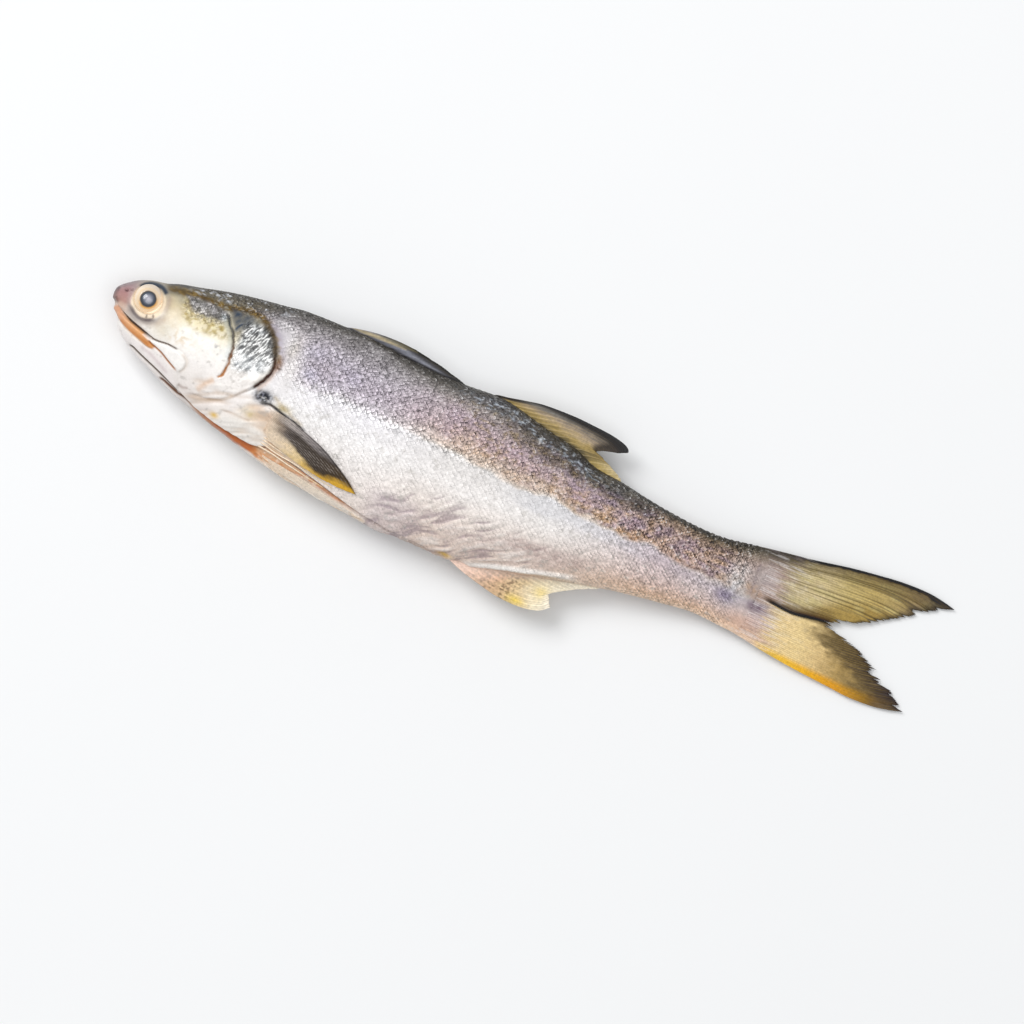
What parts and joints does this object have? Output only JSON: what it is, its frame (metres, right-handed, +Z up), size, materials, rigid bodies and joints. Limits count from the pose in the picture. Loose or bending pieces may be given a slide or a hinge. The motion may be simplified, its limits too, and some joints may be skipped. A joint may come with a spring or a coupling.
{
  "type": "whole threadfin fish",
  "caption": "Whole raw threadfin lying on its side, with a silvery scaled body, a forked tail, low fins on the back and belly, folded pectoral fins and an opened belly.",
  "frame": {"origin": "middle of the bounding box in plan, on the surface that the fish lies on", "axes": "+X from the snout to the tail, +Y from the belly to the back, +Z up, out of the fish's left flank"},
  "size_m": [0.3, 0.0634, 0.0286],
  "materials": {
    "skin": "wet scaled skin, dark grey on the back, mauve grey on the flank and silvery white on the belly",
    "eye": "wet, cream and gold iris around a cloudy grey pupil",
    "dark_fin": "thin rayed membrane, dark grey with an olive inner area",
    "yellow_fin": "thin rayed membrane, olive yellow with dark edges",
    "pale_fin": "thin rayed membrane, peach and cream"
  },
  "bodies": {
    "root": {"body": "skin", "left_eye": "eye", "right_eye": "eye", "first_dorsal_fin": "dark_fin", "second_dorsal_fin": "dark_fin", "anal_fin": "pale_fin", "caudal_fin": "yellow_fin", "left_pectoral_fin": "dark_fin", "right_pectoral_fin": "dark_fin", "left_pelvic_fin": "pale_fin", "right_pelvic_fin": "pale_fin", "left_pectoral_filament_1": "pale_fin", "left_pectoral_filament_2": "pale_fin", "left_pectoral_filament_3": "pale_fin", "left_pectoral_filament_4": "pale_fin", "right_pectoral_filament_1": "pale_fin", "right_pectoral_filament_2": "pale_fin", "right_pectoral_filament_3": "pale_fin", "right_pectoral_filament_4": "pale_fin"}
  },
  "joints": []
}
